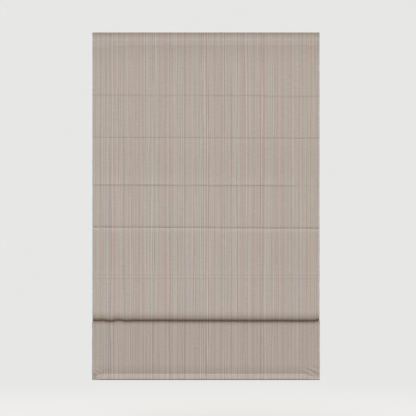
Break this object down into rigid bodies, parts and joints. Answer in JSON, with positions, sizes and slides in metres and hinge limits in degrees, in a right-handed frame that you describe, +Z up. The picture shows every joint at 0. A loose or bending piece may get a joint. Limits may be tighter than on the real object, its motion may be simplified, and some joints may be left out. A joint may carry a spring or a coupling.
{
  "type": "roman blind",
  "caption": "Cordless flat-fold roman blind in slubbed cloth, with a slim headrail, stitched rod pockets, a drooping lower fold and a weighted hem. It rises in pleats.",
  "frame": {"origin": "centre of the bracket screw holes, on the plane where the brackets meet the window head", "axes": "+X along the headrail, -Y towards the room, +Z up; the blind hangs below the origin"},
  "size_m": [0.914, 0.0449, 1.4],
  "materials": {
    "cloth": "slubbed weave with a low sheen",
    "rail_paint": "white powder coat",
    "cap_plastic": "moulded white",
    "bracket_steel": "zinc plated",
    "hook_tape": "moulded hooks",
    "loop_tape": "napped loops",
    "mechanism_plastic": "moulded white",
    "housing_plastic": "moulded grey",
    "bright_steel": "bright",
    "pocket_tape": "plain tape",
    "tip_plastic": "moulded white",
    "guide_plastic": "moulded clear white",
    "rod_fibreglass": "pultruded white",
    "bar_paint": "painted"
  },
  "bodies": {
    "head": {"headrail": "rail_paint", "headrail_cap_left": "cap_plastic", "headrail_cap_right": "cap_plastic", "mounting_bracket_left": "bracket_steel", "mounting_bracket_right": "bracket_steel", "hook_tape": "hook_tape", "loop_tape": "loop_tape", "spool_cradle_left": "mechanism_plastic", "spool_cradle_centre": "mechanism_plastic", "spool_cradle_right": "mechanism_plastic", "spring_housing": "housing_plastic", "spring_cover": "housing_plastic", "cover_screws": "bright_steel", "drum_pin": "bright_steel", "power_spring": "bright_steel", "shade_fabric": "cloth"},
    "shaft": {"lift_shaft": "bright_steel", "cord_spool_left": "mechanism_plastic", "cord_spool_centre": "mechanism_plastic", "cord_spool_right": "mechanism_plastic", "output_drum": "mechanism_plastic"},
    "store_drum": {"storage_drum": "mechanism_plastic"},
    "upper_rod": {"rod_1": "rod_fibreglass", "rod_pocket_1": "pocket_tape", "rod_tips_1": "tip_plastic", "cord_guides_1": "guide_plastic"},
    "middle_rod": {"rod_2": "rod_fibreglass", "rod_pocket_2": "pocket_tape", "rod_tips_2": "tip_plastic", "cord_guides_2": "guide_plastic"},
    "bottom": {"rod_3": "rod_fibreglass", "rod_pocket_3": "pocket_tape", "rod_tips_3": "tip_plastic", "cord_guides_3": "guide_plastic", "bottom_bar": "bar_paint", "bar_tip_left": "tip_plastic", "bar_tip_right": "tip_plastic"}
  },
  "joints": [
    {"name": "lift", "type": "slide", "parent": "middle_rod", "child": "bottom", "axis": [0, 0.0149, 0.9999], "range_m": [0, 0.33604], "deforming": ["shade_fabric", "power_spring"]},
    {"name": "middle_pleat", "type": "slide", "parent": "upper_rod", "child": "middle_rod", "axis": [0, 0.0149, 0.9999], "range_m": [0, 0.33614]},
    {"name": "upper_pleat", "type": "slide", "parent": "head", "child": "upper_rod", "axis": [0, 0.0149, 0.9999], "range_m": [0, 0.33614]},
    {"name": "shaft_spin", "type": "hinge", "parent": "head", "child": "shaft", "pos_m": [0, -0.004, -0.027], "axis": [1, 0, 0], "range_deg": [0, 4940]},
    {"name": "drum_spin", "type": "hinge", "parent": "head", "child": "store_drum", "pos_m": [-0.15, 0.0098, -0.021], "axis": [1, 0, 0], "range_deg": [-5928, 0]}
  ],
  "couplings": [
    {"joint": "middle_pleat", "follows": "lift", "ratio": 1},
    {"joint": "upper_pleat", "follows": "lift", "ratio": 1},
    {"joint": "shaft_spin", "follows": "lift", "rad_per_m": 256.38},
    {"joint": "drum_spin", "follows": "lift", "rad_per_m": -307.66}
  ]
}
